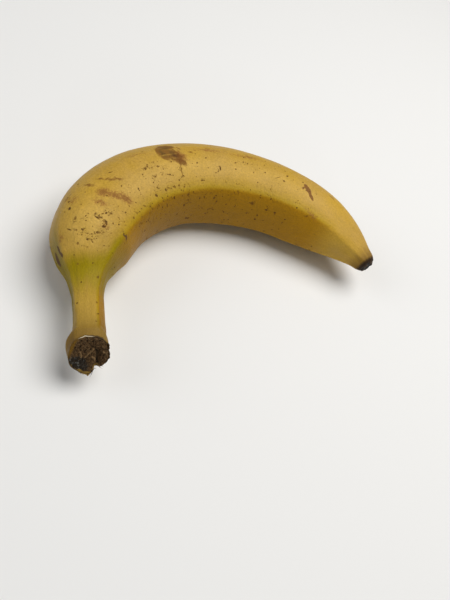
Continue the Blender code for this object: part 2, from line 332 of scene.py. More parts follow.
def wound(radius, turn, along):
    """Points round a straight axis."""
    return np.stack([radius * np.cos(turn), radius * np.sin(turn), along + 0 * turn], axis=-1)


def off_angle(angle, facing):
    """How far an angle in radians is from a direction in degrees, in degrees either way."""
    return np.degrees(np.angle(np.exp(1j * (angle - np.radians(facing)))))


def faces(angle, facing, spread):
    """1 on the side that faces a direction, and less the further an angle is from it, in degrees."""
    return bump(off_angle(angle, facing), 0, spread)


def leant(x, y, tilt):
    """A place in axes that are tilted by so many degrees."""
    lean = np.radians(tilt)
    return x * np.cos(lean) + y * np.sin(lean), y * np.cos(lean) - x * np.sin(lean)


def rounded_pentagon(angle):
    """Radius of a round-cornered five-sided figure, with a corner at angle 0 and its sides 1 away."""
    sides = (np.arange(RIDGES) + 0.5) * 2 * np.pi / RIDGES
    lean = np.maximum(np.cos(angle[..., None] - sides), 0)
    return (lean**CORNER_SHARPNESS).sum(axis=-1) ** (-1 / CORNER_SHARPNESS)


def section(distance, angle):
    """Radius of the skin at a distance from the cut and an angle from the first ridge."""
    circle = np.linspace(0, 2 * np.pi, TURN_SAMPLES, endpoint=False)
    near = faces(angle, LEAN_AT, LEAN_WIDTH)
    pentagon = rounded_pentagon(angle + np.radians(smooth(LEAN, distance)) * near)
    pentagon = (pentagon - rounded_pentagon(circle).mean()) * (1 - smooth(ROUNDED, distance) * near)
    phase = 2 * np.pi * distance / SWELLING_LENGTH
    swelling = SWELLING * np.sin(phase + 2 * angle) * spread(distance, *SWELLING_RISE, *SWELLING_FALL)
    return smooth(RADIUS, distance) * (1 + smooth(ANGULAR, distance) * pentagon) + swelling


def middle_line(distance):
    """Points of the middle line in the curve's plane, and the direction of its outer side there."""
    fine = np.linspace(0, LENGTH, LINE_SAMPLES)
    heading = np.radians(90 - smooth(TURN, fine))
    step = fine[1] - fine[0]
    run, rise = added_up(np.cos(heading)) * step, added_up(np.sin(heading)) * step
    level = np.arctan2(rise[-1], run[-1])
    heading = heading - level
    x = run * np.cos(level) + rise * np.sin(level)
    y = rise * np.cos(level) - run * np.sin(level)
    along = np.interp(distance, fine, heading)
    outer = np.stack([-np.sin(along), np.cos(along), 0 * along], axis=-1)
    return np.interp(distance, fine, x), np.interp(distance, fine, y), outer


def ring_angles(distance, turn):
    """Angles round the middle line, from its outer side towards the top."""
    return np.radians(FIRST_RIDGE + smooth(TWIST, distance)) + turn


def resting_height(distance):
    """Height of the middle line: level underside along the resting stretch, held beyond it."""
    fine = np.linspace(0, LENGTH, REST_SAMPLES)
    turn = np.linspace(0, 2 * np.pi, TURN_SAMPLES, endpoint=False)
    grid_distance, grid_turn = np.meshgrid(fine, turn, indexing="ij")
    low = section(grid_distance, grid_turn) * np.sin(ring_angles(grid_distance, grid_turn))
    depth = np.interp(np.clip(fine, REST_FROM, REST_TO), fine, -low.min(axis=1))
    step = fine[1] - fine[0]
    beyond = int(np.ceil(4 * REST_SOFTENING / step))
    weight = np.exp(-0.5 * (np.arange(-beyond, beyond + 1) * step / REST_SOFTENING) ** 2)
    depth = np.convolve(np.pad(depth, beyond, mode="edge"), weight / weight.sum(), mode="valid")
    return np.interp(distance, fine, depth) - FLATTENED


def cut_relief(angle, share):
    """How far the cut face lies behind a flat cut: its dish, its cleft and the lower small lobe."""
    inward = -share * np.cos(angle) - CLEFT_OFFSET
    upward = share * np.sin(angle)
    cleft = bump(inward, 0, CLEFT_WIDTH) * fall(upward, 0, CLEFT_TOP)
    small_lobe = 1 - fall(inward, 0, CLEFT_WIDTH)
    return CUT_DISH * (1 - share**2) + CLEFT_DEPTH * cleft + SMALL_LOBE_DROP * small_lobe


def crown(radius, angle, distance):
    """The radius with the crown's heel, and with the cleft's notch in the neck's underside."""
    heel = HEEL * faces(angle, HEEL_FACES, HEEL_WIDTH) * bump(distance, HEEL_AT, HEEL_LENGTH)
    meets_rim = 180 + np.degrees(np.arccos(CLEFT_OFFSET))
    notch = CLEFT_NOTCH * faces(angle, meets_rim, CLEFT_NOTCH_WIDTH) * fall(distance, 0, CLEFT_REACH)
    return (radius + heel) * (1 - notch)


def skin(distance, turn, share, relief=0.0, sunk=0.0):
    """Points of the surface. Share is 1 on the skin and falls to 0 at the middle of an end face.

    Relief stands out from the skin, and sunk is how far an end face lies behind the real one.
    """
    x, y, outer = middle_line(distance)
    angle = ring_angles(distance, turn)
    radius = crown(section(distance, turn), angle, distance) + relief
    around = np.cos(angle)[..., None] * outer + np.sin(angle)[..., None] * np.array([0, 0, 1.0])
    along = np.stack([outer[..., 1], -outer[..., 0], 0 * x], axis=-1)
    height = resting_height(distance) - CROWN_DROP * fall(distance, 0, CROWN_REACH)
    middle = np.stack([x, y, height], axis=-1)
    slant = np.tan(np.radians(CUT_SLANT)) * radius * np.cos(angle - np.radians(CUT_FACES))
    near = fall(distance, 0, CUT_FADE)
    cut = slant * near * share + cut_relief(angle, share) * near
    nub = NUB_DOME * (1 - share**2) - NUB_PIT * fall(share, 0, NUB_PIT_WIDTH)
    end = np.where(distance < LENGTH, cut + sunk, nub - sunk)
    points = middle + (radius * share)[..., None] * around + end[..., None] * along
    points[..., 2] = np.maximum(points[..., 2], 0)
    return points


def placed(points):
    """Points in metres, moved so that the fruit lies in the middle of its solid's box."""
    return (points - PLACE) * MM


def fruit_place():
    """Where the middle of the solid's box lies in the frame that skin works in."""
    fine = np.linspace(0, LENGTH, REST_SAMPLES)
    distance, turn = np.meshgrid(fine, np.linspace(0, 2 * np.pi, TURN_SAMPLES))
    points = skin(distance, turn, np.ones_like(turn)).reshape(-1, 3)
    middle = (points.min(axis=0) + points.max(axis=0)) / 2
    solid = np.array((fruit_low + fruit_high) / 2) / MM
    return np.array([middle[0] - solid[0], middle[1] - solid[1], 0])


def unrolled(distance, turn):
    """The skin laid on an even straight tube, so that patterns follow the fruit and close round it."""
    return wound(UNROLLED_RADIUS, turn, distance)


def lumps(points, size, seed):
    """Smooth noise of about -1 to 1 at each point, with lumps of the given size."""
    return np.array([noise.noise(Vector(point)) for point in points / size + seed * LUMP_SHIFT])


def lumpy(points, layers):
    """Lumps of several sizes on top of each other, each layer as (height, size, seed)."""
    return sum(height * lumps(points, size, seed) for height, size, seed in layers)


def put(name, data):
    """A new object in the scene."""
    thing = bpy.data.objects.new(name, data)
    bpy.context.scene.collection.objects.link(thing)
    return thing


def close_up(shape, mesh):
    """Makes doubled points one, turns the faces outwards, and keeps the shape as a smooth mesh."""
    bmesh.ops.remove_doubles(shape, verts=shape.verts, dist=MERGED)
    bmesh.ops.recalc_face_normals(shape, faces=shape.faces)
    shape.to_mesh(mesh)
    shape.free()
    mesh.shade_smooth()


def rolled_sheet(name, rows, sides, place, chart):
    """A closed mesh: a grid rolled up, with its first and last rows drawn to a point.

    Returns the object and, for its vertices, the row and the turn that each one came from.
    """
    shape = bmesh.new()
    chart_layer = shape.loops.layers.uv.new("OFBake")
    row_layer = shape.verts.layers.int.new("row")
    side_layer = shape.verts.layers.int.new("side")
    bmesh.ops.create_grid(shape, x_segments=len(rows) - 1, y_segments=sides, size=1.0)
    for vert in shape.verts:
        vert[row_layer] = round((vert.co.x + 1) / 2 * (len(rows) - 1))
        vert[side_layer] = round((vert.co.y + 1) / 2 * sides)
    row = np.array([vert[row_layer] for vert in shape.verts])
    side = np.array([vert[side_layer] for vert in shape.verts])
    spots = chart(row, side)
    shape.verts.index_update()
    for face in shape.faces:
        for loop in face.loops:
            loop[chart_layer].uv = spots[loop.vert.index]
    points = placed(place(row, side % sides * 2 * np.pi / sides))
    for vert, point in zip(shape.verts, points):
        vert.co = point
    mesh = bpy.data.meshes.new(name)
    close_up(shape, mesh)
    kept = []
    for layer in ("row", "side"):
        kept.append(np.zeros(len(mesh.vertices), int))
        mesh.attributes[layer].data.foreach_get("value", kept[-1])
        mesh.attributes.remove(mesh.attributes[layer])
    return put(name, mesh), kept[0], kept[1] % sides * 2 * np.pi / sides


def end_rows(edge, count, sunk, back):
    """(share, sunk) of each row of an end face: its front from the middle outwards, then its back."""
    return np.array([(share, sunk) for share in np.linspace(0, edge, count)] + list(back))


def end_chart(rows, count, sides, edge):
    """The flat chart of an end face: its front as a disc, with its back laid out round it."""
    def chart(row, side):
        turn = side * 2 * np.pi / sides
        share = rows[row, 0]
        reach = np.where(row < count, share, 2 * edge - share * END_CHART_RIM)
        return 0.5 + END_CHART_REACH * wound(reach, turn, 0)[:, :2]

    return chart


def note(mesh, **noted):
    """Keeps a number, or a vector, for each vertex under each name, for the materials to read."""
    for name, values in noted.items():
        kind, key = ("FLOAT_VECTOR", "vector") if values.ndim == 2 else ("FLOAT", "value")
        attribute = mesh.attributes.new(name, kind, "POINT")
        attribute.data.foreach_set(key, np.ascontiguousarray(values, np.float32).ravel())


def peel_rows():
    """(distance, share, sunk) of each row of the peel: sunken end, lip, skin and blossom end."""
    fine = np.linspace(0, LENGTH, LINE_SAMPLES)
    crowd = 1 + CROWN_CROWDING * fall(fine, 0, CROWN_CROWD_LENGTH)
    crowd = crowd + NUB_CROWDING * fall(fine, LENGTH, LENGTH - NUB_CROWD_LENGTH)
    count = added_up(crowd)
    along = np.interp(np.linspace(0, count[-1], PEEL_ROWS), count, fine)
    lip = [(0.0, share, LIP_DEPTH * fall(share, *LIP_EDGE)) for share in LIP_ROWS]
    nub = [(LENGTH, share, NUB_SUNK * fall(share, *NUB_SUNK_EDGE)) for share in NUB_ROWS]
    return np.array(lip + [(distance, 1.0, 0.0) for distance in along] + nub)


def torn_rim(turn, distance):
    """How far the peel's torn edge stands out sideways, and how far it falls short of the cut."""
    angle = ring_angles(distance, turn)
    ring = wound(RIM_RADIUS, turn, 0)
    near = fall(distance, 0, RIM_DOWN)
    outward = RIM_OUT * lumps(ring, RIM_UNEVEN_LENGTH, 31)
    for facing, height, width in RIM_SPIKES:
        outward = outward + height * faces(angle, facing, width)
    short = lumps(ring, RIM_UNEVEN_LENGTH, 32) + RIM_FINE * lumps(ring, RIM_FINE_LENGTH, 33)
    return outward * near, RIM_UNEVEN * short * near


def peel_relief(distance, turn):
    """The peel's dents, its raised ridges, its eased collar and the furrows of its neck and tip."""
    spots = unrolled(distance, turn)
    stretched = spots * [1, 1, DENT_STRETCH]
    relief = lumpy(stretched, DENTS) + COLLAR_EASING * bump(distance, COLLAR_AT, COLLAR_WIDTH)
    gap = 360 / RIDGES
    to_ridge = (np.degrees(turn) + gap / 2) % gap - gap / 2
    crest = bump(to_ridge, 0, CREST_WIDTH) * (0.6 + 0.5 * lumps(stretched, 9.0, 5))
    crest = CREST_HEIGHT * crest * spread(distance, *CREST_ALONG)
    furrow = np.sin(FURROWS * turn + 1.5 * lumps(spots * [0.2, 0.2, 1], 8.0, 6))
    furrowed = fall(distance, *NECK_FURROWED) + (1 - fall(distance, *TIP_SMOOTH))
    return relief + crest + FURROW_DEPTH * furrow * furrowed


def radius_at(distance):
    return smooth(RADIUS, np.array([float(distance)]))[0]


def in_mark(mark, distance, turn, wander=(0, 0)):
    """Each point's place along and across a mark, in the mark's half sizes."""
    at, facing, half_length, half_width, tilt = mark
    along = distance + wander[0] - at
    around = np.radians(off_angle(turn, facing)) * radius_at(at) + wander[1]
    along, around = leant(along, around, tilt)
    return along / half_length, around / half_width


def marked(marks, distance, turn, wander):
    """How far inside the nearest mark each point lies, in millimetres, and negative outside them."""
    inside = np.full(len(distance), NO_MARK)
    for mark in marks:
        half_width = mark[3]
        inside = np.maximum(inside, (1 - np.hypot(*in_mark(mark, distance, turn, wander))) * half_width)
    return inside


def strewn(draw, at, facing, reach, count, largest):
    """Small specks scattered round a place, as (distance, turn, half width)."""
    off = draw.normal(0, reach, (count, 2))
    size = SMALLEST_SPECK + (largest - SMALLEST_SPECK) * draw.uniform(0, 1, count) ** 2.2
    return list(zip(at + off[:, 0], facing + np.degrees(off[:, 1] / radius_at(at)), size))


def all_specks():
    """Every speck as a mark: those listed one by one, those strewn round them and those on the far side.
    """
    draw = np.random.RandomState(SPECK_SEED)
    specks = list(SPECKS)
    for at, facing, size in SPECKS:
        count = draw.poisson(SATELLITES * min(size / 0.45, 1.5))
        specks += strewn(draw, at, facing, SATELLITE_REACH, count, SATELLITE_LARGEST)
    for at, facing, reach, count in PATCHES:
        specks += strewn(draw, at, facing, reach, count, PATCH_LARGEST)
    far_at = draw.uniform(*FAR_STRETCH, FAR_SPECKS)
    far_facing = draw.uniform(*FAR_SIDE, FAR_SPECKS)
    far_size = 0.12 + 0.5 * draw.uniform(0, 1, FAR_SPECKS) ** 3
    specks += list(zip(far_at, far_facing, far_size))
    longer = draw.uniform(1.0, 1.5, len(specks))
    tilt = draw.uniform(0, 180, len(specks))
    marks = [(at, facing, size * longer[i], size, tilt[i]) for i, (at, facing, size) in enumerate(specks)]
    return marks + list(SCRATCHES)


def speck_places(distance, turn):
    """Each point's place in its nearest speck, in half sizes, then 1, or NO_SPECK away from all."""
    places = np.tile(NO_SPECK, (len(distance), 1))
    gap = np.full(len(distance), SPECK_REACH)
    order = np.argsort(distance)
    ordered = distance[order]
    for speck in all_specks():
        at, _, half_length, half_width, _ = speck
        reach = half_length + SPECK_REACH
        first, last = np.searchsorted(ordered, [at - reach, at + reach])
        near = order[first:last]
        u, v = in_mark(speck, distance[near], turn[near])
        off = (np.hypot(u, v) - 1) * half_width
        closer = off < gap[near]
        chosen = near[closer]
        gap[chosen] = off[closer]
        places[chosen] = np.stack([u[closer], v[closer], np.ones(len(chosen))], axis=1)
    return places


def tinted(parts, distance, turn):
    """The strongest of a tint's parts at each point."""
    return np.max([amount * spread(off_angle(turn, side), *across) * spread(distance, *along)
                   for amount, side, across, along in parts], axis=0)


def greened(distance, turn):
    """How green the shoulder and the ridge beside it are."""
    slant, side, widest = GREEN_SLANT
    front = fall(distance - slant * np.clip(off_angle(turn, side), 0, widest), *GREEN_END)
    for amount, facing, width in NOT_GREEN:
        front = front * (1 - amount * faces(turn, facing, width))
    above_neck = 1 - sum(amount * fall(distance, *where) for amount, *where in GREEN_THINS)
    return np.maximum(front, tinted(GREEN_RIDGE, distance, turn)) * above_neck


def note_peel(mesh, distance, turn, share):
    """Notes what the peel's material reads: where it is green, browned, worn or marked."""
    spots = unrolled(distance, turn)
    angle = ring_angles(distance, turn)
    wander = sum(amount * np.stack([lumps(spots, size, seed), lumps(spots, size, seed + 1)])
                 for size, seed, amount in WANDER)
    # Where the inner face gets its painted shade, and the edge of that shade
    hollow = tinted(HOLLOW_SHADE_PARTS, distance, turn)
    hollow_length = spread(distance, *HOLLOW_SHADE_LENGTH)
    lip = fall(distance, *LIP_BAND) * (share > LIP_SHARE)
    note(mesh, unrolled=spots, speck=speck_places(distance, turn),
         bruise=marked(BRUISES, distance, turn, wander),
         rub=marked(RUBS, distance, turn, 1.6 * wander),
         scar=marked(SCARS, distance, turn, 0.5 * wander),
         green=greened(distance, turn),
         # Where the peel gets its olive painted shade
         olive=tinted(OLIVE_SHADE_PARTS, distance, turn),
         # Where the peel gets its painted highlights
         pale=tinted(PALE_HIGHLIGHT_PARTS, distance, turn),
         hollow=hollow * hollow_length,
         hollow_edge=4 * hollow * (1 - hollow) * hollow_length,
         from_crown=np.where(share < 1, 0.0, distance),
         from_tip=LENGTH - distance,
         # The lip's cream edge: partly the pale cut edge, partly a painted highlight
         cream=lip * faces(angle, *CREAM_HIGHLIGHT_SIDE),
         torn=lip * faces(angle, *TORN_SIDE),
         # The flank, where the rust near the cut is deepened as painted shade
         flank=faces(angle, *SHADED_FLANK_SIDE))


def make_peel():
    rows = peel_rows()

    def place(row, turn):
        distance, share, sunk = rows[row].T
        outward, short = torn_rim(turn, distance)
        relief = (peel_relief(distance, turn) + outward) * np.where(share < 1, share**4, 1)
        return skin(distance, turn, share, relief, sunk + short * share**6)

    def chart(row, side):
        spots = np.stack([row / (len(rows) - 1), side / PEEL_SIDES], axis=1)
        return CHART_MARGIN + (1 - 2 * CHART_MARGIN) * spots

    piece, row, turn = rolled_sheet("peel", rows, PEEL_SIDES, place, chart)
    note_peel(piece.data, rows[row, 0], turn, rows[row, 1])
    return piece


def off_path(u, v, path):
    """How far each point of the cut face is from a line of points, in cut radii."""
    off = np.full(len(u), 9.0)
    for (u0, v0), (u1, v1) in zip(path, path[1:]):
        run_u, run_v = u1 - u0, v1 - v0
        t = np.clip(((u - u0) * run_u + (v - v0) * run_v) / (run_u**2 + run_v**2), 0, 1)
        off = np.minimum(off, np.hypot(u - u0 - t * run_u, v - v0 - t * run_v))
    return off


def cut_features(share, turn):
    """The cut's dark grooves, pale ridges and dried sap, each 0 to 1, and each point's place on it."""
    angle = ring_angles(np.zeros_like(turn), turn)
    u, v = -share * np.cos(angle), share * np.sin(angle)
    spots = np.stack([u, v, 0 * u], axis=-1) * CUT_RADIUS
    u, v = u + SWAY * lumps(spots, SWAY_LENGTH, 21), v + SWAY * lumps(spots, SWAY_LENGTH, 22)
    dark = np.maximum(bump(off_path(u, v, GROOVE), 0, GROOVE_WIDTH),
                      0.8 * bump(off_path(u, v, CREASE), 0, CREASE_WIDTH))
    pale = np.zeros(len(u))
    for path in TISSUE_RIDGES:
        pale = np.maximum(pale, bump(off_path(u, v, path), 0, TISSUE_WIDTH))
    across, up = leant(u - SAP_MIDDLE[0], v - SAP_MIDDLE[1], SAP_TILT)
    sap = fall(np.hypot(across / SAP_SIZE[0], up / SAP_SIZE[1]), *SAP_EDGE)
    return dark, pale * (1 - dark), sap, spots


def torn_fibres(spots):
    """The ragged tissue of the cut: strands that fan out round the cleft, and lumps."""
    from_cleft = spots - np.array([*FAN_FROM, 0]) * CUT_RADIUS
    reach = np.hypot(from_cleft[:, 0], from_cleft[:, 1])
    facing = np.arctan2(from_cleft[:, 1], from_cleft[:, 0])
    fan = np.stack([reach * 1.5, 2.2 * np.cos(facing), 2.2 * np.sin(facing)], axis=1)
    strands = 1 - 2 * np.abs(lumps(fan, 0.75, 23)) + 0.5 * (1 - 2 * np.abs(lumps(fan, 0.35, 24)))
    return STRAND_HEIGHT * strands + lumpy(spots, TISSUE_LUMPS)


def make_crown_cut():
    rows = end_rows(CUT_EDGE, CUT_FRONT_ROWS, CUT_SUNK, CUT_BACK)

    def place(row, turn):
        share, sunk = rows[row].T
        dark, pale, sap, spots = cut_features(share, turn)
        blister = lumpy(spots, BLISTERS) + BLISTERS_RISE
        rough = torn_fibres(spots) * (1 - 0.85 * sap) + TISSUE_RISE * pale
        rough = rough - GROOVE_DEPTH * dark + sap * blister
        settled = 1 - 0.7 * (1 - fall(share, CUT_SETTLES, CUT_EDGE))
        return skin(0 * turn, turn, share, 0.0, sunk - rough * (row < CUT_FRONT_ROWS) * settled)

    chart = end_chart(rows, CUT_FRONT_ROWS, CUT_SIDES, CUT_EDGE)
    piece, row, turn = rolled_sheet("crown_cut", rows, CUT_SIDES, place, chart)
    dark, pale, sap, spots = cut_features(rows[row, 0], turn)
    angle = ring_angles(0 * turn, turn)
    strip = np.maximum(*(faces(angle, *side) for side in STRIP_SIDES))
    note(piece.data, spots=spots, dark=dark, pale=pale, sap=sap, edge=rows[row, 0],
         rind=faces(angle, *RIND_SIDE), strip=strip, raised=torn_fibres(spots))
    return piece


def make_blossom_end():
    rows = end_rows(NUB_EDGE, NUB_FRONT_ROWS, NUB_FACE_SUNK, NUB_BACK)

    def relief(share, turn):
        lobe = np.cos(RIDGES * (turn - 0.3))
        rim = bump(share, NUB_RIM_AT + 0.1 * lobe, NUB_RIM_WIDTH) * (0.75 + 0.25 * lobe)
        rise = NUB_RIM * rim + NUB_HEART * bump(share, 0, NUB_HEART_WIDTH)
        return rise + lumpy(wound(NUB_RADIUS * share, turn, 0), NUB_LUMPS)

    def place(row, turn):
        share, sunk = rows[row].T
        on_front = (row < NUB_FRONT_ROWS) * fall(share, 0.9, NUB_EDGE)
        return skin(0 * turn + LENGTH, turn, share, 0.0, sunk - relief(share, turn) * on_front)

    chart = end_chart(rows, NUB_FRONT_ROWS, NUB_SIDES, NUB_EDGE)
    piece, row, turn = rolled_sheet("blossom_end", rows, NUB_SIDES, place, chart)
    note(piece.data, raised=relief(rows[row, 0], turn))
    return piece


def strand_paths():
    """Fibres torn loose round the cut: the points of each, in the solid's frame, and its thickness."""
    draw = np.random.RandomState(FIBRE_SEED)
    paths = []
    first_ridge = FIRST_RIDGE + smooth(TWIST, 0.0)
    for facing, spread, count, length, thickness in FIBRES:
        for _ in range(count):
            turn = np.radians(facing + draw.uniform(-spread, spread) - first_ridge)
            root = draw.uniform(0.86, 0.99)
            reach = length * draw.uniform(0.5, 1.2)
            lean, curl, swing = draw.uniform(-0.5, 0.6), draw.uniform(-1.0, 1.0), draw.uniform(-0.6, 0.6)
            t = np.linspace(0, 1, STRAND_POINTS)
            out = root + (0.25 + 0.5 * lean) * reach * t / CUT_RADIUS
            around = turn + (swing * t + curl * t * t) * reach / CUT_RADIUS
            off = 0.35 - reach * 0.75 * t * (1 - 0.4 * abs(lean) * t)
            paths.append((placed(skin(0 * t, around, out, 0.0, off)), thickness * draw.uniform(0.6, 1.3)))
    return paths


def make_crown_fibres():
    curve = bpy.data.curves.new("crown_fibres", "CURVE")
    curve.dimensions = "3D"
    curve.bevel_depth = MM
    curve.bevel_resolution = 1
    curve.use_fill_caps = True
    for points, thickness in strand_paths():
        spline = curve.splines.new("POLY")
        spline.points.add(len(points) - 1)
        for i, (spot, point) in enumerate(zip(spline.points, points)):
            spot.co = (*point, 1)
            spot.radius = thickness * (1 - 0.8 * i / (len(points) - 1)) / 2
    drawn = put("crown_fibres_drawn", curve)
    bpy.context.view_layer.update()
    mesh = bpy.data.meshes.new_from_object(drawn.evaluated_get(bpy.context.evaluated_depsgraph_get()))
    bpy.data.objects.remove(drawn)
    shape = bmesh.new()
    shape.from_mesh(mesh)
    close_up(shape, mesh)
    return put("crown_fibres", mesh)


class Value:
    """A number in a material. Sums and products written with it add their Math nodes."""

    def __init__(self, finish, socket):
        self.finish = finish
        self.socket = socket

    def __add__(self, other):
        return self.finish.math("ADD", self, other)

    def __mul__(self, other):
        return self.finish.math("MULTIPLY", self, other)

    def __sub__(self, other):
        return self.finish.math("SUBTRACT", self, other)

    def __rsub__(self, other):
        return self.finish.math("SUBTRACT", other, self)

    __radd__, __rmul__ = __add__, __mul__


class Finish:
    """A material being made: one Principled shader, and the nodes that feed it."""

    def __init__(self, name, **plain):
        self.material = bpy.data.materials.new(name)
        self.material.use_nodes = True
        self.tree = self.material.node_tree
        self.shader = self.tree.nodes["Principled BSDF"]
        self.colour = None
        for socket, value in plain.items():
            self.shader.inputs[socket.replace("_", " ")].default_value = value

    def node(self, kind, inputs, **settings):
        node = self.tree.nodes.new(kind)
        for name, value in settings.items():
            setattr(node, name, value)
        for name, value in inputs.items():
            self.feed(node.inputs[name], value)
        return node

    def feed(self, socket, value):
        if isinstance(value, Value):
            value = value.socket
        if isinstance(value, bpy.types.NodeSocket):
            self.tree.links.new(value, socket)
        else:
            socket.default_value = value

    def math(self, operation, first, second):
        node = self.node("ShaderNodeMath", {0: first, 1: second}, operation=operation)
        return Value(self, node.outputs[0])

    def most(self, first, second):
        return self.math("MAXIMUM", first, second)

    def lines(self, place, size, thin):
        """Thin wandering lines: 1 on them and 0 between, where soft noise crosses its middle."""
        off_middle = self.math("ABSOLUTE", self.cloud(place, size, 2, 0.55), 0.0)
        return 1 - self.step(off_middle, 0.0, thin)

    def step(self, value, low, high):
        """Rises smoothly from 0 where the value is low to 1 where it is high."""
        inputs = {0: value, 1: low, 2: high}
        ramp = self.node("ShaderNodeMapRange", inputs, interpolation_type="SMOOTHSTEP")
        return Value(self, ramp.outputs[0])

    def noted(self, name):
        """A noted number."""
        return Value(self, self.node("ShaderNodeAttribute", {}, attribute_name=name).outputs["Fac"])

    def place(self, name, stretch=(1, 1, 1)):
        """A noted vector, stretched."""
        place = self.node("ShaderNodeAttribute", {}, attribute_name=name).outputs["Vector"]
        return self.node("ShaderNodeVectorMath", {0: place, 1: stretch}, operation="MULTIPLY").outputs[0]

    def cloud(self, place, size, detail=2.0, roughness=0.5):
        """Soft noise of -0.5 to 0.5 with lumps of about the given size."""
        inputs = {"Vector": place, "Scale": 1 / size, "Detail": detail, "Roughness": roughness}
        return Value(self, self.node("ShaderNodeTexNoise", inputs).outputs["Fac"]) - 0.5

    def dots(self, place, spacing, radius, share):
        """Scattered round dots: 1 inside them. Share is how many of the places that could hold one do."""
        cells = self.node("ShaderNodeTexVoronoi", {"Vector": place, "Scale": 1 / spacing})
        draw = self.node("ShaderNodeSeparateColor", {"Color": cells.outputs["Color"]})
        size = Value(self, draw.outputs["Green"]) * (radius / spacing) + 0.3 * radius / spacing
        near = self.step(size - Value(self, cells.outputs["Distance"]), 0.0, 0.35 * radius / spacing)
        return near * self.step(share - Value(self, draw.outputs["Red"]), 0.0, 0.02)

    def tint(self, amount, first, second):
        """The first colour where the amount is 0, the second where it is 1."""
        inputs = {0: amount, 6: first, 7: second}
        return self.node("ShaderNodeMix", inputs, data_type="RGBA", clamp_factor=True).outputs[2]

    def paint(self, amount, colour):
        """Lays a colour over what is painted so far, as thickly as the amount says."""
        self.colour = self.tint(amount, self.colour, colour)

    def shade(self, colour, amount):
        """The colour times a number."""
        inputs = {0: colour, "Scale": amount}
        return self.node("ShaderNodeVectorMath", inputs, operation="SCALE").outputs[0]

    def wear(self, piece, **sockets):
        """Feeds the shader and puts the material on a piece."""
        for name, value in sockets.items():
            self.feed(self.shader.inputs[name.replace("_", " ")], value)
        piece.data.materials.clear()
        piece.data.materials.append(self.material)

    def bumped(self, height, distance):
        """A normal for relief of the given height, at most so many metres deep."""
        inputs = {"Height": height, "Distance": distance, "Strength": 1.0}
        return self.node("ShaderNodeBump", inputs).outputs["Normal"]


# Colours of the peel and of dried tissue, as linear red, green, blue
YELLOW = (0.48, 0.29, 0.034, 1)
TAN_YELLOW = (0.44, 0.268, 0.052, 1)
# The painted shade of the inner face
SHADED_OCHRE = (0.322, 0.154, 0.0, 1)
GREEN = (0.286, 0.208, 0.0, 1)
# The olive of the painted shade on the neck's outer facet and by the shoulder
SHADED_OLIVE = (0.197, 0.146, 0.0, 1)
# The greener gold at the edge of that painted shade
SHADE_EDGE_GOLD = (0.38, 0.25, 0.006, 1)
# The pale yellow of the painted highlights
PAINTED_HIGHLIGHT_YELLOW = (0.6, 0.385, 0.09, 1)
NECK_YELLOW = (0.43, 0.27, 0.04, 1)
RUST = (0.13, 0.062, 0.012, 1)
DRY_EDGE = (0.035, 0.018, 0.008, 1)
# The lip's cream top edge: partly the pale cut edge, partly a painted highlight
PALE_LIP_HIGHLIGHT = (0.78, 0.68, 0.48, 1)
TORN_YELLOW = (0.33, 0.2, 0.04, 1)
BRUISE_BROWN = (0.16, 0.062, 0.012, 1)
BRUISE_DARK = (0.065, 0.026, 0.01, 1)
RUB_BROWN = (0.27, 0.112, 0.026, 1)
SCAR_RED = (0.19, 0.08, 0.022, 1)
SCAR_DARK = (0.085, 0.04, 0.022, 1)
SPECK_BROWN = (0.072, 0.026, 0.005, 1)
SPECK_RUST = (0.165, 0.074, 0.01, 1)
CUT_BROWN = (0.1, 0.05, 0.017, 1)
CUT_DARK = (0.016, 0.008, 0.003, 1)
CUT_RUST = (0.07, 0.028, 0.007, 1)
CUT_PALE = (0.26, 0.16, 0.07, 1)
CUT_FLECK = (0.3, 0.205, 0.105, 1)
CUT_RIND = (0.24, 0.125, 0.014, 1)
CUT_BLACK = (0.01, 0.007, 0.004, 1)
SAP_BLACK = (0.011, 0.009, 0.006, 1)
# Pale grey painted glints on the dried sap
SAP_PAINTED_GLINT = (0.2, 0.195, 0.165, 1)
FIBRE_PALE = (0.23, 0.135, 0.03, 1)

# Along which stretch, from the crown or from the tip, each of the peel's changes of colour, painted shade
# and painted light sets in
NECK_TONE = (20, 36)
HOLLOW_SHADE_DEEPENS, HOLLOW_SHADE_LIFTS = (50, 68), (85, 150)
# Near the cut the neck darkens, partly its own browning and partly painted shade; beside it, the rust's
# stretch
COLLAR_BROWNING_AND_SHADE, COLLAR_RUST = (4, 21), (-2, 13)
# Painted light: the body grows lighter towards the tip
TIP_PAINTED_LIGHT = (150, 190)
SCARS_REDDEN = (60, 90)
PRICKED = (20, 40)
CUT_DRY, TIP_DRY, TIP_RUST = (0.3, 0.9), (0.6, 2.2), (0.8, 9)
PRICK_SPACING, PRICK_RADIUS = 1.5, 0.2


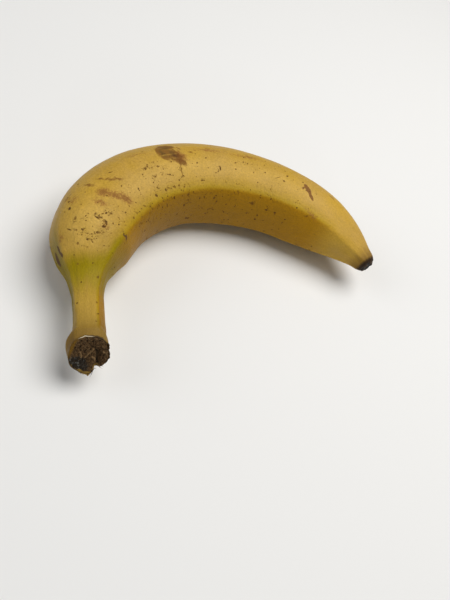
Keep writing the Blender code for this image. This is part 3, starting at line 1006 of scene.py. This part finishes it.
def finish_peel(piece):
    peel = Finish("ripe_peel", IOR=1.45, Specular_IOR_Level=0.14)
    place = peel.place("unrolled")
    lengthwise = peel.place("unrolled", (1, 1, 0.07))
    slow = peel.cloud(place, 22)
    blotches = peel.cloud(place, 6, 3)
    grain = peel.cloud(place, 0.9, 3, 0.6)
    fibres = peel.cloud(lengthwise, 1.1, 3, 0.6)
    streaks = peel.cloud(lengthwise, 3.5, 2)

    peel.colour = peel.tint(peel.step(slow + 0.5 * blotches, -0.25, 0.25), YELLOW, TAN_YELLOW)
    from_crown = peel.noted("from_crown")
    # Painted highlights in pale yellow on the shoulder's front and along the top face
    peel.paint(peel.noted("pale") * (0.6 + 0.8 * blotches), PAINTED_HIGHLIGHT_YELLOW)
    neck = 1 - peel.step(from_crown + 10 * slow, *NECK_TONE)
    peel.paint(0.8 * neck, NECK_YELLOW)
    # Painted shade on the inner face: darker by the shoulder, lighter towards the tip, greener gold at
    # its edge
    inside = 1.05 - 0.2 * peel.step(from_crown, *HOLLOW_SHADE_DEEPENS)
    inside = inside + 0.22 * peel.step(from_crown, *HOLLOW_SHADE_LIFTS)
    peel.paint(0.92 * peel.noted("hollow"), peel.shade(SHADED_OCHRE[:3], inside))
    peel.paint(0.65 * peel.noted("hollow_edge"), SHADE_EDGE_GOLD)
    # Olive painted shade on the neck's outer facet and by the shoulder
    peel.paint(0.85 * peel.noted("olive"), SHADED_OLIVE)
    peel.paint(peel.step(peel.noted("green") + 0.5 * blotches + 0.3 * streaks, 0.05, 1), GREEN)
    # Darker towards the cut: partly the neck's own browning, partly painted shade where the crown's flare
    # turns from the light
    collar_browning_and_shade = 1 - peel.step(from_crown + 3 * blotches, *COLLAR_BROWNING_AND_SHADE)
    mottle = 1 + 0.24 * blotches + 0.56 * grain + 0.1 * fibres + 0.06 * streaks
    # Painted light, lighter towards the tip
    mottle = mottle + 0.1 * peel.step(from_crown, *TIP_PAINTED_LIGHT)
    mottle = mottle + 0.45 * peel.cloud(place, 0.55, 2, 0.7)
    peel.colour = peel.shade(peel.colour, mottle * (1 - 0.3 * collar_browning_and_shade))

    rub = peel.step(peel.noted("rub") + 9 * peel.cloud(place, 0.8, 4, 0.95), 0.2, 1.3)
    rub_grains = peel.step(peel.noted("rub") + 9 * peel.cloud(place, 0.6, 3, 0.9), 1.2, 1.8)
    peel.paint(0.7 * rub, RUB_BROWN)
    peel.paint(0.5 * rub_grains, BRUISE_BROWN)
    ragged = peel.cloud(place, 1, 4, 0.7)
    bruise_inside = peel.noted("bruise") + 1.7 * ragged + 0.9 * peel.cloud(lengthwise, 1.2, 3)
    spared = peel.step(peel.cloud(lengthwise, 1.3, 3, 0.75), 0.03, 0.16)
    bruise = peel.step(bruise_inside, -0.3, 0.5) * (1 - 0.5 * spared)
    deep = peel.step(bruise_inside + 2.6 * peel.cloud(place, 1.6, 3, 0.75), 0.9, 2.6)
    peel.paint(0.82 * bruise, peel.tint(deep, BRUISE_BROWN, BRUISE_DARK))
    scar = peel.step(peel.noted("scar") + 0.7 * ragged, -0.12, 0.22)
    scar_colour = peel.tint(peel.step(from_crown, *SCARS_REDDEN), SCAR_DARK, SCAR_RED)
    peel.paint(0.9 * scar, peel.shade(scar_colour, 1 + 0.9 * grain))

    crowded = peel.step(peel.cloud(place, 26), -0.12, 0.2)
    pin_pricks = peel.dots(place, PRICK_SPACING, PRICK_RADIUS, 0.12 + 0.22 * crowded)
    peel.paint(0.55 * pin_pricks * peel.step(from_crown, *PRICKED), BRUISE_BROWN)
    speck_frame = peel.node("ShaderNodeSeparateXYZ", {"Vector": peel.place("speck")})
    across, along, near = (Value(peel, speck_frame.outputs[axis]) for axis in "XYZ")
    off_middle = peel.math("POWER", across * across + along * along, 0.5)
    speck = peel.step(near - off_middle + 0.8 * peel.cloud(place, 0.45, 2), -0.35, 0.4)
    faded = peel.step(peel.cloud(place, 3.4, 2, 0.6), -0.1, 0.16)
    peel.paint((0.94 - 0.3 * faded) * speck, peel.tint(faded, SPECK_BROWN, SPECK_RUST))

    rusting = 1 - peel.step(from_crown - 9 * blotches - 7 * streaks, *COLLAR_RUST)
    # Rust near the cut, deeper on the flank, where it is partly painted shade
    peel.paint((0.4 + 0.4 * peel.noted("flank")) * rusting, RUST)
    dry = 1 - peel.step(from_crown + 1.2 * ragged, *CUT_DRY)
    peel.paint(0.9 * dry * (1 - 0.9 * peel.noted("flank")), DRY_EDGE)
    # The lip's cream top edge: partly the pale cut edge, partly a painted highlight
    peel.paint(0.85 * peel.step(peel.noted("cream") + 0.6 * grain, 0.25, 0.6), PALE_LIP_HIGHLIGHT)
    peel.paint(0.7 * peel.step(peel.noted("torn") + 1.2 * ragged, 0.3, 0.7), TORN_YELLOW)
    from_tip = peel.noted("from_tip")
    peel.paint(0.75 * (1 - peel.step(from_tip - 4 * streaks - 3 * blotches, *TIP_RUST)), RUST)
    peel.paint(1 - peel.step(from_tip - 1.5 * ragged, *TIP_DRY), DRY_EDGE)

    hurt = peel.most(peel.most(bruise, scar), speck)
    rough = 0.46 + 0.2 * hurt + 0.16 * blotches + 0.2 * grain + 0.1 * rub
    pits = peel.cloud(place, 1.4, 2)
    relief = 0.9 * grain + 0.3 * fibres + 0.8 * pits + 0.8 * blotches - 0.35 * speck - 0.2 * deep
    peel.wear(piece, Base_Color=peel.colour, Roughness=rough, Normal=peel.bumped(relief, 0.0002))


def finish_crown_cut(piece):
    cut = Finish("dried_cut", IOR=1.45, Specular_IOR_Level=0.16, Coat_Roughness=0.16, Coat_IOR=1.5)
    place = cut.place("spots")
    raised = cut.step(cut.noted("raised"), -0.35, 0.55)
    grain = cut.cloud(place, 0.5, 4, 0.7)
    blotches = cut.cloud(place, 2, 3, 0.6)
    fibres = cut.cloud(cut.place("spots", (1, 0.22, 1)), 0.45, 3, 0.6)
    lit = cut.step(0.7 * raised + 2 * grain + 1.2 * fibres, 0.1, 0.75)
    cut.colour = cut.tint(lit, CUT_DARK, CUT_BROWN)
    cut.paint(cut.step(blotches + grain, 0, 0.5) * 0.5, CUT_RUST)
    cut.paint(0.7 * cut.step(cut.cloud(place, 0.28, 2, 0.7) + 0.25 * raised, 0.28, 0.36), CUT_FLECK)
    pale = cut.step(cut.noted("pale") + 1.1 * grain + 0.5 * fibres, 0.3, 0.85)
    cut.paint(0.85 * pale, CUT_PALE)
    cut.paint(cut.step(cut.noted("dark") + grain, 0.35, 0.9), CUT_BLACK)
    fine_lines = cut.lines(cut.place("spots", (1, 0.4, 1)), 0.9, 0.03)
    wisps = cut.most(cut.lines(place, 1.6, 0.035), 0.7 * fine_lines)
    cut.paint(0.62 * wisps, CUT_PALE)
    edge = cut.noted("edge") + 0.10 * grain + 0.06 * blotches
    rind = cut.step(edge + 0.2 * cut.noted("rind"), 0.96, 1.1)
    cut.paint(0.95 * rind, CUT_RIND)
    sap = cut.step(cut.noted("sap") + 1.1 * grain + 1.1 * blotches, 0.15, 0.95)
    cut.paint(0.9 * sap, SAP_BLACK)
    wrinkled = cut.cloud(place, 1.35, 3, 0.6)
    # Painted glints: pale grey where the dried sap wrinkles
    cut.paint(0.8 * cut.step(wrinkled + 0.6 * grain, 0.04, 0.2) * sap, SAP_PAINTED_GLINT)
    near_strip = cut.noted("strip")
    strip = cut.step(near_strip + 1.3 * cut.cloud(place, 1.1, 2), 0.16, 0.36)
    strip = strip * cut.step(edge + 0.06 * near_strip, 0.9, 0.93)
    cut.paint(0.85 * strip, TORN_YELLOW)
    rough = 0.75 + 0.3 * grain - 0.4 * sap * (1 - strip)
    tissue = grain + 0.6 * fibres + 0.5 * blotches + 0.5 * wisps
    relief = tissue * (1 - 0.8 * sap) + 3.4 * wrinkled * sap
    glaze = 0.6 * cut.step(wrinkled + 0.6 * grain, 0, 0.2) * sap * (1 - strip)
    normal = cut.bumped(relief, 0.0004)
    cut.wear(piece, Base_Color=cut.colour, Roughness=rough, Coat_Weight=glaze, Normal=normal)


def finish_crown_fibres(piece):
    fibres = Finish("torn_fibres", IOR=1.45)
    place = fibres.node("ShaderNodeTexCoord", {}).outputs["Object"]
    colour = fibres.tint(fibres.step(fibres.cloud(place, 0.0016, 2), -0.12, 0.14), CUT_DARK, FIBRE_PALE)
    grain = fibres.cloud(place, 0.0003, 2)
    fibres.wear(piece, Base_Color=fibres.shade(colour, 1 + 0.8 * grain), Roughness=0.7 + 0.2 * grain)


def finish_blossom_end(piece):
    scar = Finish("dry_scar", IOR=1.45)
    place = scar.node("ShaderNodeTexCoord", {}).outputs["Object"]
    grain = scar.cloud(place, 0.0005, 4, 0.7)
    raised = scar.step(scar.noted("raised") + 0.9 * grain, 0.1, 1.1)
    colour = scar.tint(raised, SAP_BLACK, CUT_BROWN)
    scar.wear(piece, Base_Color=colour, Roughness=0.7 + 0.3 * grain, Normal=scar.bumped(grain, 0.0003))


def lit_from(name, position, target, size, watts, colour):
    """A round soft lamp at a position in metres, turned to a target."""
    lamp = bpy.data.lights.new(name, "AREA")
    lamp.shape = "DISK"
    lamp.size = size
    lamp.energy = watts
    lamp.color = colour
    light = put(name, lamp)
    light.location = position
    light.rotation_euler = (Vector(target) - Vector(position)).to_track_quat("-Z", "Y").to_euler()


# The camera stands where the photograph was taken, seen from the fruit
CAMERA_AT = (-124.62, -127.98, 224.87)
CAMERA_RIGHT = (0.8464, -0.4525, 0.2808)
CAMERA_UP = (0.2676, 0.8173, 0.5104)
CAMERA_LENS = 48.0
CAMERA_SENSOR = 36.0

# The floor and the light, in metres and watts; each lamp as (name, position, target, size, watts, colour)
FLOOR_HALF, FLOOR_GAP = 2.0, 0.0002
PAPER = (0.80, 0.80, 0.79, 1)
ROOM_LIGHT, ROOM_STRENGTH = (0.93, 0.96, 1.0, 1), 0.14
LAMPS = (
    ("overhead", (0.31, -0.06, 0.85), (0, 0, 0), 0.75, 8.3, (1.0, 0.98, 0.95)),
    ("back_left", (-0.75, 0.45, 0.6), (0, 0, 0), 0.8, 2.7, (0.97, 0.98, 1.0)),
    ("window_glint", (-0.38, -0.92, 0.38), (-0.07, -0.03, 0.01), 0.14, 0.5, (0.88, 0.94, 1.0)),
)


def make_camera():
    data = bpy.data.cameras.new("camera")
    data.lens = CAMERA_LENS
    data.sensor_width = CAMERA_SENSOR
    data.sensor_fit = "HORIZONTAL"
    data.clip_start = 0.01
    camera = put("camera", data)
    right, up = Vector(CAMERA_RIGHT), Vector(CAMERA_UP)
    turned = Matrix((right, up, right.cross(up))).transposed().to_4x4()
    camera.matrix_world = Matrix.Translation(Vector(CAMERA_AT) * MM) @ turned
    bpy.context.scene.camera = camera


def make_floor():
    shape = bmesh.new()
    bmesh.ops.create_grid(shape, x_segments=1, y_segments=1, size=FLOOR_HALF)
    mesh = bpy.data.meshes.new("floor")
    shape.to_mesh(mesh)
    shape.free()
    floor = put("floor", mesh)
    floor.location = (0, 0, -FLOOR_GAP)
    pale = Finish("pale_paper", Base_Color=PAPER, Roughness=0.8)
    pale.wear(floor)


def make_light():
    world = bpy.data.worlds.new("soft_room")
    world.use_nodes = True
    room = world.node_tree.nodes["Background"].inputs
    room["Color"].default_value = ROOM_LIGHT
    room["Strength"].default_value = ROOM_STRENGTH
    bpy.context.scene.world = world
    for lamp in LAMPS:
        lit_from(*lamp)
    bpy.context.scene.view_settings.view_transform = "Standard"


PLACE = fruit_place()
make_camera()
make_floor()
make_light()
peel = make_peel()
finish_peel(peel)
crown_cut = make_crown_cut()
finish_crown_cut(crown_cut)
crown_fibres = make_crown_fibres()
finish_crown_fibres(crown_fibres)
blossom_end = make_blossom_end()
finish_blossom_end(blossom_end)
for piece in (peel, crown_cut, crown_fibres, blossom_end):
    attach(piece, "root")
    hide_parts("banana")
